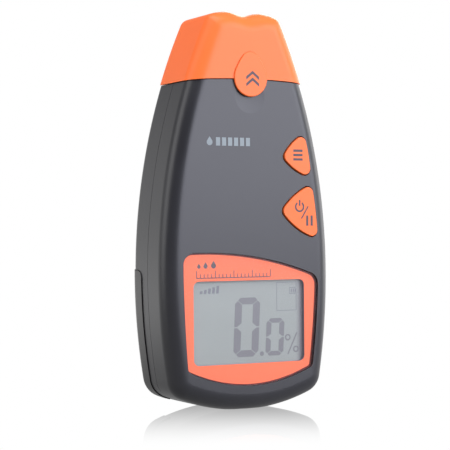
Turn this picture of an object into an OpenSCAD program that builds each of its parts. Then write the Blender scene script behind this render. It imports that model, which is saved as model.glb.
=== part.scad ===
// Pin-type moisture meter: a hand-held case with a slide-off cap over two electrode
// pins, a liquid crystal display, two buttons and a nine-volt battery behind a door.
// Front faces -Y, right-hand side as seen from the front is +X, the foot rests on Z = 0.

/* [Case] */
// Half of the case width at its widest
half_width = 31; // [30.5:0.1:31.5]
// Height at which the case is widest
belly_z = 44; // [43:0.5:45]
// Radius of the long curved sides
side_r = 205; // [200:1:215]
// Radius of the curved bottom edge
bottom_r = 64; // [60:1:68]
// Radius of the two bottom corners
corner_r = 7.2; // [7:0.1:8]
// Depth of the case from front to back
case_depth = 26; // [26:0.2:27]
// Edge rounding around the front face
front_round = 5.7; // [5.4:0.1:5.8]
// Edge rounding around the back face
back_round = 3.8; // [3.4:0.1:4]
// Thickness of the case walls
wall = 2; // [1.9:0.1:2.1]
// Place of the joint between the front and rear shells
seam_y = 0.5; // [0.3:0.1:0.7]

/* [Cap] */
// Height of the two humps on top of the cap
cap_top_z = 130.2; // [129.5:0.1:131]
// Height of the middle of the cap's lower edge
cap_edge_z = 107.7; // [107.5:0.1:108]
// Distance of each hump from the middle
hump_x = 6; // [5.5:0.1:6.5]
// Depth of the valley between the humps
valley = 1.1; // [0.8:0.1:1.3]

/* [Display] */
// Width of the visible display
view_w = 41.2; // [40:0.1:41.4]
// Height of the visible display
view_h = 27.2; // [26:0.1:27.4]
// Height of the display's centre
view_z = 28.6; // [28.4:0.1:28.8]

/* [Electrodes] */
// Distance between the two pins
pin_pitch = 16; // [15:0.5:17]
// Height of the pin tips
pin_tip_z = 126.2; // [125:0.1:126.4]

/* [Battery door] */
// Height of the top edge of the door
door_top_z = 46; // [45.5:0.1:46.2]
// Place of the door's front edge on the sides
door_y = 4.8; // [4.7:0.1:4.9]

/* [Hidden] */

$fn = 48;
eps = 0.01;
front_y = -case_depth / 2;
back_y = case_depth / 2;
foot_sink = 0.4;          // how far the bottom curve is cut off to make a flat foot
side_c = [half_width - side_r, belly_z];
bottom_c = [0, bottom_r - foot_sink];

// Bottom corner circle: it touches the side circle and the bottom circle from inside
reach_side = side_r - corner_r;
reach_bottom = bottom_r - corner_r;
centre_gap = norm(bottom_c - side_c);
along = (reach_side ^ 2 - reach_bottom ^ 2 + centre_gap ^ 2) / (2 * centre_gap);
across = sqrt(reach_side ^ 2 - along ^ 2);
run = (bottom_c - side_c) / centre_gap;
corner_c = side_c + along * run + across * [run.y, -run.x];
side_low = atan2(corner_c.y - side_c.y, corner_c.x - side_c.x);
bottom_end = atan2(corner_c.y - bottom_c.y, corner_c.x - bottom_c.x);

cap_grow = 0.4;           // the cap stands this far proud of the case
cap_wall = 2;
cap_gap = 0.3;            // gap between the cap's edge and the case
cap_edge_r = 260;
neck_inset = cap_wall - cap_grow + 0.3;
neck_wall = 1.8;
neck_top_z = 113.5;
cavity_top_z = 105.5;
cap_corner_r = 3.2;       // the same on every ring, so the front and back edges stay soft
crown_fall = 0.03;        // how fast the crown falls away outside the humps

panel_y = front_y + 1.2;  // floor of the lens recess
film = 0.15;
lens_gap = 0.15;          // gap around the lens
lens_ledge = 1.4;         // width of the shelf that carries the lens
key_gap = 0.25;           // gap around each button
scoop_r = 40;             // thumb scoop below the tab: a shallow cut of a sphere
scoop_depth = 0.4;
scoop_z = 102.2;
lcd_y = front_y + 2.3;
board_front = -7.3;
board_back = -6.3;
tub_floor = -6.1;
tub_wall = 0.8;
battery_x = [-25.2, 21.2];
battery_z = [13, 39];
battery_y = [-5.1, 11.7];
door_gap = 0.15;
door_top_gap = 0.45;      // room for the front of the door's top edge to rise as it swings
door_back_gap = 0.12;     // the same at the back face, where the edge snaps past
door_corner = 3;
door_proud = 0.3;
lip_inset = 1.45;         // lip of the rear shell that closes the gap above the door
lip_wall = 0.9;
lip_drop = 1.6;
sill = 5;                 // height of the fixed strip below the door
sill_half = 21;
hook_x = 8;
hook_w = 5;
hook_y = [9.8, 10.6];
hook_z = [4.5, 8.2];
hook_root_y = 12;
hook_root_z = 6.6;
screw_seat_y = 7.2;

button_proud = 0.7;
flange_y = [-10.95, -10.35];
switch_top = -9.85;
mode_switch = [18.4, 82.6];
power_switch = [20.2, 64.6];
case_bosses = [[-14, 97], [14, 97], [-24, 52.3], [24, 52.3]];
board_bosses = [[-18, 60], [-17, 88], [5, 56]];
boss_r = 2.8;
bore_r = 1.22;
sleeve_r = 3.3;           // sleeve in the rear shell that takes each case screw
head_bore_r = 2.6;
sleeve_bore_r = 1.4;
board_boss_r = 2;
board_bore_r = 0.82;
rib_x = 8;
rib_low = 101.4;
block_low = 103.4;
tab_y = [front_y - 0.9, front_y - 0.3];
plunger_r = 1.6;

lcd_thick = 1.9;
lcd_x = [-22.2, 22.2];
lcd_z = [view_z - 15.7, view_z + 15.7];
board_low = 10;

pin_x = [-pin_pitch / 2, pin_pitch / 2];
stud_r = 1.25;
needle_r = 0.85;
stud_low_z = 100.6;
collar_top_z = 116.4;
tag_thick = 0.5;
terminal_y = 3.3;
terminal_z = [19.65, 32.35];

// ---- outlines in the X-Z plane, listed anticlockwise as seen from the front ----

function arc(c, r, a0, a1, n) =
    [for (i = [0:n]) let (a = a0 + (a1 - a0) * i / n) c + r * [cos(a), sin(a)]];

function mirrored(right) =
    concat(right, [for (i = [len(right) - 1:-1:1]) [-right[i].x, right[i].y]]);

// Case outline drawn in by d and cut off flat at height top
function case_outline(d, top) =
    let (side_high = asin((top - side_c.y) / (side_r - d)),
         low = arc(bottom_c, bottom_r - d, -90, bottom_end, 12),
         bend = arc(corner_c, corner_r - d, bottom_end, side_low, 6),
         side = arc(side_c, side_r - d, side_low, side_high, 18),
         right = concat(low, [for (i = [1:6]) bend[i]], [for (i = [1:18]) side[i]]))
    mirrored([for (p = right) [p.x, max(p.y, 0)]]);

function crown(x) =
    cap_top_z - cap_grow - (x < hump_x ? valley * (1 + cos(180 * x / hump_x)) / 2
                                       : crown_fall * (x - hump_x) ^ 2);
function crown_slope(x) =
    x < hump_x ? valley * PI / hump_x / 2 * sin(180 * x / hump_x)
               : -2 * crown_fall * (x - hump_x);
function crown_normal(x) =
    [-crown_slope(x), 1] / norm([-crown_slope(x), 1]);
function crown_inset(x, d) = [x, crown(x)] - d * crown_normal(x);

// The place on the crown where a corner of radius r meets both crown and side
function corner_start(d, r, lo = 6, hi = 16, steps = 24) =
    let (x = (lo + hi) / 2,
         out = norm(crown_inset(x, d + r) - side_c) > side_r - d - r)
    steps == 0 ? x : corner_start(d, r, out ? lo : x, out ? x : hi, steps - 1);

// Cap outline drawn in by d, from a flat bottom at height low up over the crown
function cap_outline(d, low) =
    let (r = cap_corner_r,
         x = corner_start(d, r),
         c = crown_inset(x, d + r),
         n = crown_normal(x),
         turn = atan2(c.y - side_c.y, c.x - side_c.x),
         side = arc(side_c, side_r - d, asin((low - side_c.y) / (side_r - d)), turn, 6),
         bend = arc(c, r, turn, atan2(n.y, n.x), 6),
         over = [for (i = [11:-1:0]) crown_inset(x * i / 12, d)],
         right = concat(side, [for (i = [1:6]) bend[i]], over))
    concat(right, [for (i = [len(right) - 2:-1:0]) [-right[i].x, right[i].y]]);

// Direction of the outward normal of the line that touches circles b and c [x, z, r]
function touch_angle(b, c) =
    let (gap = [c.x - b.x, c.y - b.y])
    atan2(gap.y, gap.x) - acos((b[2] - c[2]) / norm(gap));

// Rounded outline round corner circles [x, z, r]; each side swells out by its angle
function soft_outline(corners, swell) =
    let (n = len(corners))
    [for (i = [0:n - 1])
        let (a = corners[(i + n - 1) % n], b = corners[i], c = corners[(i + 1) % n],
             start = touch_angle(a, b) + swell[(i + n - 1) % n],
             sweep = (touch_angle(b, c) - swell[i] - start + 720) % 360,
             middle = start + sweep + swell[i],
             from = [b.x, b.y] + b[2] * [cos(start + sweep), sin(start + sweep)],
             to = [c.x, c.y] + c[2] * [cos(middle + swell[i]), sin(middle + swell[i])],
             rise = norm(to - from) * tan(swell[i]) * [cos(middle), sin(middle)])
        each concat(arc([b.x, b.y], b[2], start, start + sweep, ceil(sweep / 15)),
                    [for (k = [1:5]) let (t = k / 6) from + t * (to - from) + t * (1 - t) * rise])];

mode_corners = [[20.4, 78.9, 2], [18.9, 87.3, 2], [14.6, 82.8, 2]];
mode_swell = [4, 12, 12];
power_corners = [[23, 58.4, 1.95], [21.5, 70.8, 1.95], [14.3, 64.8, 2.2]];
power_swell = [3, 12, 14];
lens_corners = [[21.4, 14.4, 1.8], [21.3, 40.5, 4.1], [-20.7, 47.5, 3.9], [-21.2, 14.6, 2]];
lens_swell = [3, 11, 2, 24];
tab_corners = [[0, 108.2, 6.1], [0, 113.3, 3.5]];
tab_swell = [8, 8];

function shrunk(corners, d) = [for (c = corners) [c.x, c.y, c[2] - d]];

// ---- general solids ----

// A solid from outlines of equal length, each at its own depth
module stacked(outlines, depths) {
    n = len(outlines[0]);
    m = len(outlines);
    points = [for (j = [0:m - 1]) for (p = outlines[j]) [p.x, depths[j], p.y]];
    sides = [for (j = [0:m - 2]) for (i = [0:n - 1])
        let (a = j * n + i, b = j * n + (i + 1) % n)
        each [[a, b, b + n], [a, b + n, a + n]]];
    polyhedron(points, concat([[for (i = [n - 1:-1:0]) i]], sides,
                              [[for (i = [0:n - 1]) (m - 1) * n + i]]));
}

// Inset and depth of each ring of a form with rounded front and back edges
function ring_list(d) =
    let (f = front_round - d, b = max(back_round - d, 0.6))
    concat([for (i = [0:6]) let (t = 15 * i) [d + f * (1 - sin(t)), front_y + d + f * (1 - cos(t))]],
           [for (i = [0:5]) let (t = 90 - 18 * i) [d + b * (1 - sin(t)), back_y - d - b * (1 - cos(t))]]);

module case_form(d, top) {
    rings = ring_list(d);
    stacked([for (r = rings) case_outline(r[0], top)], [for (r = rings) r[1]]);
}

module cap_form(d, low) {
    rings = ring_list(d);
    stacked([for (r = rings) cap_outline(r[0], low)], [for (r = rings) r[1]]);
}

module slab(y0, y1) {
    translate([0, y1, 0]) rotate([90, 0, 0]) linear_extrude(y1 - y0) children();
}

module rod_y(p, y0, y1, r) {
    translate([p.x, y1, p.y]) rotate([90, 0, 0]) cylinder(h = y1 - y0, r = r);
}

module rod_x(x0, x1, y, z, r) {
    translate([x0, y, z]) rotate([0, 90, 0]) cylinder(h = x1 - x0, r = r);
}

module block(x, y, z) {
    translate([x[0], y[0], z[0]]) cube([x[1] - x[0], y[1] - y[0], z[1] - z[0]]);
}

// Everything below the arched lower edge of the cap, lifted by lift
module below_cap_edge(lift) {
    translate([0, 0, cap_edge_z - cap_edge_r + lift])
        rotate([90, 0, 0]) cylinder(h = 40, r = cap_edge_r, center = true, $fn = 360);
}

// The space that the battery door takes up, grown by gap; its top lies at z near the front
// and, from the back face on, at z_back
module door_space(gap, z, z_back) {
    y = door_y - gap;
    r = door_corner + gap;
    side = concat([[y, -5], [30, -5], [30, z_back], [back_y, z_back]],
                  arc([y + r, z - r], r, 90, 180, 12));
    difference() {
        rotate([90, 0, 90]) translate([0, 0, -40]) linear_extrude(80) polygon(side);
        difference() {
            block([-sill_half + gap, sill_half - gap], [-20, 40], [-6, 20]);
            translate([0, 0, bottom_c.y]) rotate([90, 0, 0])
                cylinder(h = 80, r = bottom_r - sill + gap, center = true, $fn = 360);
        }
    }
}

// Outline of the case at its widest, seen from above and drawn in by d, from the given
// front line to the back
function plan_outline(d, front) =
    let (w = half_width - d, b = back_y - d, r = back_round - d)
    concat([[-w, front], [w, front]], arc([w - r, b - r], r, 0, 90, 6),
           arc([r - w, b - r], r, 90, 180, 6));

// Lip that hangs down inside the door's top edge and closes the gap there
module door_lip() {
    translate([0, 0, door_top_z - lip_drop]) linear_extrude(lip_drop + 1) difference() {
        polygon(plan_outline(lip_inset, door_y - door_gap - eps));
        polygon(plan_outline(lip_inset + lip_wall, door_y - 1));
    }
}

// A round wire swept along hand-placed points; its two end faces are flat
function wire_dir(p, i) =
    let (d = p[min(i + 1, len(p) - 1)] - p[max(i - 1, 0)]) d / norm(d);
module wire(p, r, sides = 10) {
    n = len(p);
    frames = [for (i = [0:n - 1])
        let (t = wire_dir(p, i), u = cross(t, [1, 0, 0]) / norm(cross(t, [1, 0, 0])))
        [u, cross(t, u)]];
    points = [for (i = [0:n - 1]) for (k = [0:sides - 1]) let (a = 360 * k / sides)
        p[i] + r * (cos(a) * frames[i][0] + sin(a) * frames[i][1])];
    walls = [for (i = [0:n - 2]) for (k = [0:sides - 1])
        let (a = i * sides + k, b = i * sides + (k + 1) % sides)
        each [[a, b + sides, b], [a, a + sides, b + sides]]];
    polyhedron(points, concat([[for (k = [0:sides - 1]) k]], walls,
                              [[for (k = [sides - 1:-1:0]) (n - 1) * sides + k]]));
}

// A point on the smooth curve from b to c, with neighbours a and d, at t from 0 to 1
function on_curve(a, b, c, d, t) =
    (2 * b + (c - a) * t + (2 * a - 5 * b + 4 * c - d) * t ^ 2 + (3 * b - a - 3 * c + d) * t ^ 3) / 2;

// Points of a smooth curve through hand-placed points
function smooth(p, steps = 3) =
    let (n = len(p))
    concat([for (i = [0:n - 2], k = [0:steps - 1])
        on_curve(p[max(i - 1, 0)], p[i], p[i + 1], p[min(i + 2, n - 1)], k / steps)],
        [p[n - 1]]);

// ---- case ----

// Both shells as one hollow form: case wall, shoulder and the neck under the cap
module hollow_case() {
    difference() {
        union() {
            intersection() {
                case_form(0, cap_edge_z + 2);
                below_cap_edge(0);
            }
            case_form(neck_inset, neck_top_z);
        }
        case_form(wall, cavity_top_z);
        case_form(neck_inset + neck_wall, neck_top_z + 5);
    }
}

module front_shell() {
    color([0.29, 0.29, 0.31]) difference() {
        union() {
            intersection() {
                hollow_case();
                block([-40, 40], [-20, seam_y - 0.05], [-1, 120]);
            }
            for (p = case_bosses) rod_y(p, front_y + wall - 0.5, seam_y + 2.4, boss_r);
            for (p = board_bosses) rod_y(p, front_y + wall - 0.5, board_front, board_boss_r);
            for (s = [-1, 1]) block([s * rib_x - 1, s * rib_x + 1], [-11.2, -8.2], [rib_low, block_low]);
        }
        slab(front_y - 2, panel_y) polygon(soft_outline(lens_corners, lens_swell));
        slab(front_y - 2, front_y + wall + 1) {
            polygon(soft_outline(shrunk(lens_corners, lens_ledge), lens_swell));
            polygon(soft_outline(shrunk(mode_corners, -key_gap), mode_swell));
            polygon(soft_outline(shrunk(power_corners, -key_gap), power_swell));
        }
        for (p = case_bosses) rod_y(p, -6, seam_y + 4, bore_r);
        for (p = board_bosses) rod_y(p, -10.4, board_front + 1, board_bore_r);
        translate([0, front_y - scoop_r + scoop_depth, scoop_z]) sphere(r = scoop_r, $fn = 200);
    }
}

module rear_shell() {
    color([0.27, 0.27, 0.29]) difference() {
        union() {
            difference() {
                intersection() {
                    hollow_case();
                    block([-40, 40], [seam_y + 0.05, 20], [-1, 120]);
                }
                door_space(door_gap, door_top_z + door_top_gap, door_top_z + door_back_gap);
            }
            intersection() {
                case_form(wall - 0.6, door_top_z + 3);
                union() {
                    block([-40, 40], [door_y - 1.6, door_y - door_gap], [0, door_top_z + 2]);
                    block([-40, 40], [door_y - 1.6, 12], [door_top_z + door_top_gap, door_top_z + 2]);
                }
            }
            intersection() {
                case_form(wall + 0.2, door_top_z + 1.7);
                block([battery_x[0] - 1.1, 26.3], [tub_floor, door_y - 0.5],
                      [battery_z[0] - 1.1, battery_z[1] + 1.1]);
            }
            door_lip();
            for (p = case_bosses) rod_y(p, seam_y + 2.45, back_y - 1, sleeve_r);
            block([-10, 10], [7.5, back_y - wall + 0.5], [rib_low, block_low]);
        }
        block([battery_x[0] - 0.3, 25.5], [tub_floor + tub_wall, 30],
              [battery_z[0] - 0.3, battery_z[1] + 0.3]);
        block([19.6, 24.4], [-1, 3], [battery_z[1], battery_z[1] + 3]);
        for (p = case_bosses) rod_y(p, screw_seat_y, back_y + 2, head_bore_r);
        for (p = case_bosses) rod_y(p, seam_y, 9, sleeve_bore_r);
    }
}

// Door: outer skin with side walls, and two hooks that reach down behind the sill
module battery_door() {
    color([0.29, 0.28, 0.28]) {
        intersection() {
            difference() {
                case_form(-door_proud, door_top_z + 5);
                case_form(1.2, door_top_z + 6);
            }
            door_space(0, door_top_z, door_top_z);
        }
        for (s = [-1, 1]) {
            x = [s * hook_x - hook_w / 2, s * hook_x + hook_w / 2];
            block(x, hook_y, hook_z);
            block(x, [hook_y[1], hook_root_y], [hook_root_z, hook_z[1]]);
        }
    }
}

// ---- cap ----

module cap_shell() {
    color([1, 0.52, 0.3]) difference() {
        cap_form(-cap_grow, cap_edge_z - 3);
        cap_form(cap_wall - cap_grow, cap_edge_z - 4);
        below_cap_edge(cap_gap);
        slab(front_y - 3, tab_y[1] + 0.1) polygon(soft_outline(shrunk(tab_corners, -0.12), tab_swell));
    }
}

module thumb_tab() {
    color([1, 0.52, 0.3]) slab(tab_y[0], tab_y[1]) polygon(soft_outline(tab_corners, tab_swell));
}

// ---- buttons ----

// A button cap that fills its opening, with a flange that keeps it in the case;
// the flange ends where the inside of the wall starts to curve back
module button(corners, swell) {
    slab(front_y - button_proud, flange_y[0] + eps) polygon(soft_outline(corners, swell));
    intersection() {
        slab(flange_y[0], flange_y[1]) polygon(soft_outline(shrunk(corners, -1), swell));
        translate([side_c.x, 0, side_c.y]) rotate([90, 0, 0])
            cylinder(h = case_depth, r = side_r - front_round + 0.4, center = true, $fn = 360);
    }
}

module mode_button() {
    color([1, 0.52, 0.3]) button(mode_corners, mode_swell);
}

module power_button() {
    color([1, 0.52, 0.3]) button(power_corners, power_swell);
}

module plunger(p) {
    color([0.15, 0.15, 0.16]) rod_y(p, flange_y[1], switch_top + 1.1, plunger_r);
}

module mode_plunger() plunger(mode_switch);
module power_plunger() plunger(power_switch);

module switch_bases() {
    color([0.2, 0.2, 0.21]) for (p = [mode_switch, power_switch]) difference() {
        block([p.x - 3, p.x + 3], [switch_top, board_front], [p.y - 3, p.y + 3]);
        rod_y(p, switch_top - 1, switch_top + 1.7, plunger_r + 0.15);
    }
}

// ---- display ----

module display_lens() {
    color([0.8, 0.85, 0.88, 0.4])
        slab(front_y + 0.1, panel_y - film)
            polygon(soft_outline(shrunk(lens_corners, lens_gap), lens_swell));
}

// Coloured film behind the lens with a clear window for the display
module lens_print() {
    color([1, 0.47, 0.33]) difference() {
        slab(panel_y - film, panel_y) polygon(soft_outline(shrunk(lens_corners, lens_gap), lens_swell));
        slab(panel_y - 1, panel_y + 1) translate([0, view_z]) square([view_w, view_h], center = true);
    }
}

module lcd_glass() {
    color([0.68, 0.72, 0.73]) block(lcd_x, [lcd_y, lcd_y + lcd_thick], lcd_z);
}

module lcd_reflector() {
    color([0.8, 0.8, 0.8])
        block(lcd_x + [1.6, -1.6], [lcd_y + lcd_thick, lcd_y + lcd_thick + 0.2], lcd_z + [2.7, -2.7]);
}

// Tray that holds the glass over the board and the strips against its edges
module lcd_frame() {
    color([0.9, 0.9, 0.88]) difference() {
        block(lcd_x + [-1, 1], [lcd_y, board_front], lcd_z + [-1.6, 1.6]);
        block(lcd_x + [-0.05, 0.05], [lcd_y - 1, lcd_y + lcd_thick + 0.02], lcd_z + [-0.05, 0.05]);
        block(lcd_x + [1, -1], [lcd_y, board_front + 1], lcd_z);
    }
}

// Conductive rubber strips from the board to the top and bottom edges of the glass
module zebra_strips() {
    color([0.95, 0.6, 0.65]) for (z = [lcd_z[0] + 0.2, lcd_z[1] - 2.4])
        block(lcd_x + [1.2, -1.2], [lcd_y + lcd_thick, board_front], [z, z + 2.2]);
}

// ---- circuit board ----

module circuit_board() {
    color([0.1, 0.4, 0.2]) slab(board_front, board_back) difference() {
        polygon(case_outline(3.3, 101));
        for (p = case_bosses) translate(p) circle(r = boss_r + 0.3);
        for (s = [-1, 1]) translate([s * 27.5, case_bosses[2].y]) square([7, 6.2], center = true);
        for (p = board_bosses) translate(p) circle(r = 1.1);
        square([60, 2 * board_low], center = true);
    }
}

// Square flat package with gull-wing leads on all four sides
module microcontroller() {
    color([0.12, 0.12, 0.13]) {
        block([-5, 5], [board_back, board_back + 1.6], [66, 76]);
        for (i = [-5:5], s = [-1, 1]) {
            pad([0.8 * i, 71 + s * 5.6], 0.15, 0.6);
            pad([s * 5.6, 71 + 0.8 * i], 0.6, 0.15);
        }
    }
}

module pad(p, half_w, half_h) {
    block([p.x - half_w, p.x + half_w], [board_back, board_back + 0.8], [p.y - half_h, p.y + half_h]);
}

module small_chips() {
    color([0.13, 0.13, 0.14]) for (p = [[-13, 78], [9, 84], [-9, 52]])
        block([p.x - 2.5, p.x + 2.5], [board_back, board_back + 1.5], [p.y - 2, p.y + 2]);
}

module resistors() {
    color([0.2, 0.18, 0.16]) for (i = [0:5], z = [60.6, 92])
        pad([-9.5 + 3.5 * i, z], 0.9, 0.5);
}

module filter_capacitors() {
    color([0.15, 0.2, 0.45]) for (p = [[12.5, 50.5], [-2, 82.5]]) rod_y(p, board_back, board_back + 7, 2.5);
}

module crystal_can() {
    color([0.75, 0.75, 0.77]) rod_y([11, 74], board_back, board_back + 3.2, 1.9);
}

// Calibration trimmer with a screwdriver slot
module trimmer() {
    color([0.15, 0.35, 0.7]) difference() {
        union() {
            block([15.5, 21.5], [board_back, board_back + 3.5], [82, 88]);
            rod_y([18.5, 85], board_back + 3.4, board_back + 4.3, 2.2);
        }
        block([18.2, 18.8], [board_back + 3.8, board_back + 5], [82.5, 87.5]);
    }
}

// ---- fasteners ----

// Screw along Y with its head towards the back and a cross recess in it
module cross_screw(p, head_y, head_r, head_h, shank_r, tip_y) {
    difference() {
        union() {
            rod_y(p, head_y, head_y + head_h, head_r);
            rod_y(p, tip_y, head_y + eps, shank_r);
        }
        for (a = [0, 90]) translate([p.x, head_y + head_h, p.y]) rotate([0, a, 0])
            cube([head_r * 1.2, head_h, head_r * 0.3], center = true);
    }
}

module case_screws() {
    color([0.6, 0.6, 0.62]) for (p = case_bosses) cross_screw(p, screw_seat_y, 2.3, 1.7, 1.2, -5);
}

module board_screws() {
    color([0.6, 0.6, 0.62]) for (p = board_bosses) cross_screw(p, board_back, 1.7, 1.1, 0.8, -10);
}

// ---- electrodes ----

module electrode_block() {
    color([0.12, 0.12, 0.13]) difference() {
        union() {
            intersection() {
                case_form(neck_inset + neck_wall + 0.2, neck_top_z - 0.3);
                block([-30, 30], [-20, 20], [cavity_top_z - 0.3, neck_top_z]);
            }
            intersection() {
                case_form(wall + 0.2, cavity_top_z - 0.1);
                block([-30, 30], [-20, 20], [block_low, cavity_top_z]);
            }
        }
        for (x = pin_x) translate([x, 0, block_low - 1]) cylinder(h = 20, r = stud_r + 0.02);
    }
}

// Threaded stud below and plain needle above, turned in one piece
module pin(x) {
    color([0.8, 0.8, 0.82]) translate([x, 0, 0]) rotate_extrude() polygon([
        [0, stud_low_z], [stud_r, stud_low_z], [stud_r, collar_top_z - 0.4], [needle_r, collar_top_z + 0.2],
        [needle_r, pin_tip_z - 3], [0.08, pin_tip_z], [0, pin_tip_z]]);
}

module left_pin() pin(pin_x[0]);
module right_pin() pin(pin_x[1]);

module pin_collars() {
    color([0.75, 0.75, 0.77]) for (x = pin_x) translate([x, 0, neck_top_z - 0.3]) difference() {
        cylinder(h = collar_top_z - neck_top_z - 0.1, r = 2.7, $fn = 6);
        translate([0, 0, -1]) cylinder(h = 9, r = stud_r + 0.02);
    }
}

module solder_tags() {
    color([0.85, 0.8, 0.55]) for (x = pin_x) translate([x, 0, block_low - tag_thick]) difference() {
        union() {
            cylinder(h = tag_thick, r = 2.5);
            translate([-1, -5, 0]) cube([2, 4, tag_thick]);
        }
        translate([0, 0, -1]) cylinder(h = 3, r = stud_r + 0.02);
    }
}

module pin_nuts() {
    color([0.75, 0.75, 0.77]) for (x = pin_x) translate([x, 0, block_low - tag_thick - 1.8]) difference() {
        cylinder(h = 1.8, r = 2.7, $fn = 6);
        translate([0, 0, -1]) cylinder(h = 4, r = stud_r + 0.02);
    }
}

// Bare jumper from a solder tag down to the top edge of the board
module electrode_lead(s) {
    z = block_low - tag_thick - 0.05;
    color([0.85, 0.85, 0.83]) wire(smooth([
        [s * pin_x[1], -4.2, z], [s * pin_x[1], -4.2, z - 1.5], [s * 7.6, -4.2, z - 3.5],
        [s * 7, -4.3, 96.8], [s * 6.8, -4.9, 95.8], [s * 6.8, board_back + 0.05, 95.6]]), 0.45, 8);
}

module left_electrode_lead() electrode_lead(-1);
module right_electrode_lead() electrode_lead(1);

// ---- battery ----

module battery() {
    color([0.75, 0.6, 0.25]) block(battery_x, battery_y, battery_z);
}

module battery_terminals() {
    color([0.8, 0.8, 0.82]) {
        rod_x(battery_x[1], battery_x[1] + 2.1, terminal_y, terminal_z[0], 2.9);
        rod_x(battery_x[1], battery_x[1] + 2.1, terminal_y, terminal_z[1], 3.9);
    }
}

// Moulded connector plate pressed over both terminals
module battery_snap() {
    color([0.1, 0.1, 0.1]) difference() {
        block([battery_x[1] + 0.1, 24.9], [terminal_y - 6, terminal_y + 6],
              [battery_z[0] + 0.5, battery_z[1] - 0.5]);
        rod_x(battery_x[1], battery_x[1] + 2.2, terminal_y, terminal_z[0], 3);
        rod_x(battery_x[1], battery_x[1] + 2.2, terminal_y, terminal_z[1], 4);
    }
}

module red_battery_lead() {
    color([0.75, 0.1, 0.1]) wire(smooth([
        [23.2, 1.8, battery_z[1] - 0.45], [23.2, 1.8, 40.3], [22.6, 1, 42.6], [20.8, -1.6, 44.8],
        [19.4, -4.4, 46.4], [19.2, board_back + 0.05, 46.6]]), 0.6, 8);
}

module black_battery_lead() {
    color([0.08, 0.08, 0.08]) wire(smooth([
        [23.2, 0.1, battery_z[1] - 0.45], [23.2, 0.1, 40.3], [22, -1, 42.2], [19, -2.8, 43.2],
        [16.6, -4.4, 43.6], [16.4, board_back + 0.05, 43.6]]), 0.6, 8);
}

front_shell();
rear_shell();
battery_door();
cap_shell();
thumb_tab();
mode_button();
power_button();
display_lens();
lens_print();
lcd_glass();
lcd_reflector();
lcd_frame();
zebra_strips();
circuit_board();
microcontroller();
small_chips();
resistors();
filter_capacitors();
crystal_can();
trimmer();
switch_bases();
mode_plunger();
power_plunger();
case_screws();
board_screws();
electrode_block();
left_pin();
right_pin();
pin_collars();
solder_tags();
pin_nuts();
left_electrode_lead();
right_electrode_lead();
battery();
battery_terminals();
battery_snap();
red_battery_lead();
black_battery_lead();
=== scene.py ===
"""Looks of the pin moisture meter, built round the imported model.

All outlines are in millimetres and turn into metres when a mesh is made. The front faces -Y.
"""

import math

import bmesh
import bpy
from mathutils import Matrix, Vector


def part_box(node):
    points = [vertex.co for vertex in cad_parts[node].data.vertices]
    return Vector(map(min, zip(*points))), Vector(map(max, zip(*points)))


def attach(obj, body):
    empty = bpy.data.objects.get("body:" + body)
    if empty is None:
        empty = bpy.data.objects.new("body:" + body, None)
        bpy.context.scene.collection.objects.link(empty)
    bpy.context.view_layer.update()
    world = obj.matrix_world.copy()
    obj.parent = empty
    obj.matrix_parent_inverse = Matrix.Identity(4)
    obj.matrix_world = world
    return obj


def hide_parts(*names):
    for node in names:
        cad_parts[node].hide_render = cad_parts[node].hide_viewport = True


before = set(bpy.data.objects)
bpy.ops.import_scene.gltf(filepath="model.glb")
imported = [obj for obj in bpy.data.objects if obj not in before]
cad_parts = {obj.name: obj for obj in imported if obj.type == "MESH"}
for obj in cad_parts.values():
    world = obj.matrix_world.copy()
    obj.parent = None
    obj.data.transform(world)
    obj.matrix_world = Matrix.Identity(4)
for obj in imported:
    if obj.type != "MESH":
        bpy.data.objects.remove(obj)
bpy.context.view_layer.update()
scene = bpy.context.scene
MM = 0.001


def low(node):
    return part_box(node)[0] / MM


def high(node):
    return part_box(node)[1] / MM


# ---------------------------------------------------------------- sizes, in millimetres
# case, whose two halves meet at the seam
FRONT = low("front_shell").y
BACK = high("rear_shell").y
SEAM = (0.41, 0.59)
SEAM_SOFT = 0.14
HALF_WIDTH = 31.0
BELLY_Z = 44.0
SIDE_R = 205.0
BOTTOM_R = 64.0
CORNER_R = 7.2
FRONT_ROUND = 5.7
BACK_ROUND = 3.8
BACK_ROUND_MIN = 0.6
WALL = 2.0
FOOT_SINK = 0.4
CAVITY_TOP = 105.5
PANEL_Y = high("lens_print").y
LENS_LEDGE = 1.4
RIM_SOFT = 0.16
RIM_ZONE = (27.0, 92.0)
SCOOP = ((0.0, 102.2), 40.0, 0.4)

# neck, which the cap slides over, and the ribs that hold the electrode block in it
NECK_BASE = 104.0
NECK_TOP = high("front_shell").z
NECK_WALL = 1.8
MOUTH_Z = (103.0, NECK_TOP + 4)
NECK_EDGE_Z = 112.0
NECK_EDGE_Y = FRONT + 4.5
RIB_Z = (101.4, 103.4)
FRONT_RIB_X, FRONT_RIB_Y = 8.0, (-11.2, -8.2)
REAR_RIB_X, REAR_RIB_Y = (-10.0, 10.0), (7.5, BACK - WALL + 0.5)

# screws, their posts in the front half and their sleeves in the rear half
CASE_SCREWS = [(s * x, z) for x, z in ((14.0, 97.0), (24.0, 52.3)) for s in (-1, 1)]
BOARD_SCREWS = [(-18.0, 60.0), (-17.0, 88.0), (5.0, 56.0)]
BOARD_FRONT = low("circuit_board").y
POST_ROOT = FRONT + WALL - 0.4
POST_R, POST_BORE_R = 2.8, 1.22
POST_Y = (POST_ROOT, SEAM[1] + 2.3)
POST_BORE_Y = (-6.0, SEAM[1] + 4)
BOARD_POST_R, BOARD_BORE_R = 2.0, 0.82
BOARD_POST_Y = (POST_ROOT, BOARD_FRONT)
BOARD_BORE_Y = (-10.4, BOARD_FRONT + 1)
SLEEVE_R, SLEEVE_BORE_R = 3.3, 1.4
SLEEVE_Y = (SEAM[1] + 2.4, BACK - 1)
SLEEVE_BORE_Y = (SEAM[1], 9.0)
HEAD_BORE_R = 2.6
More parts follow.
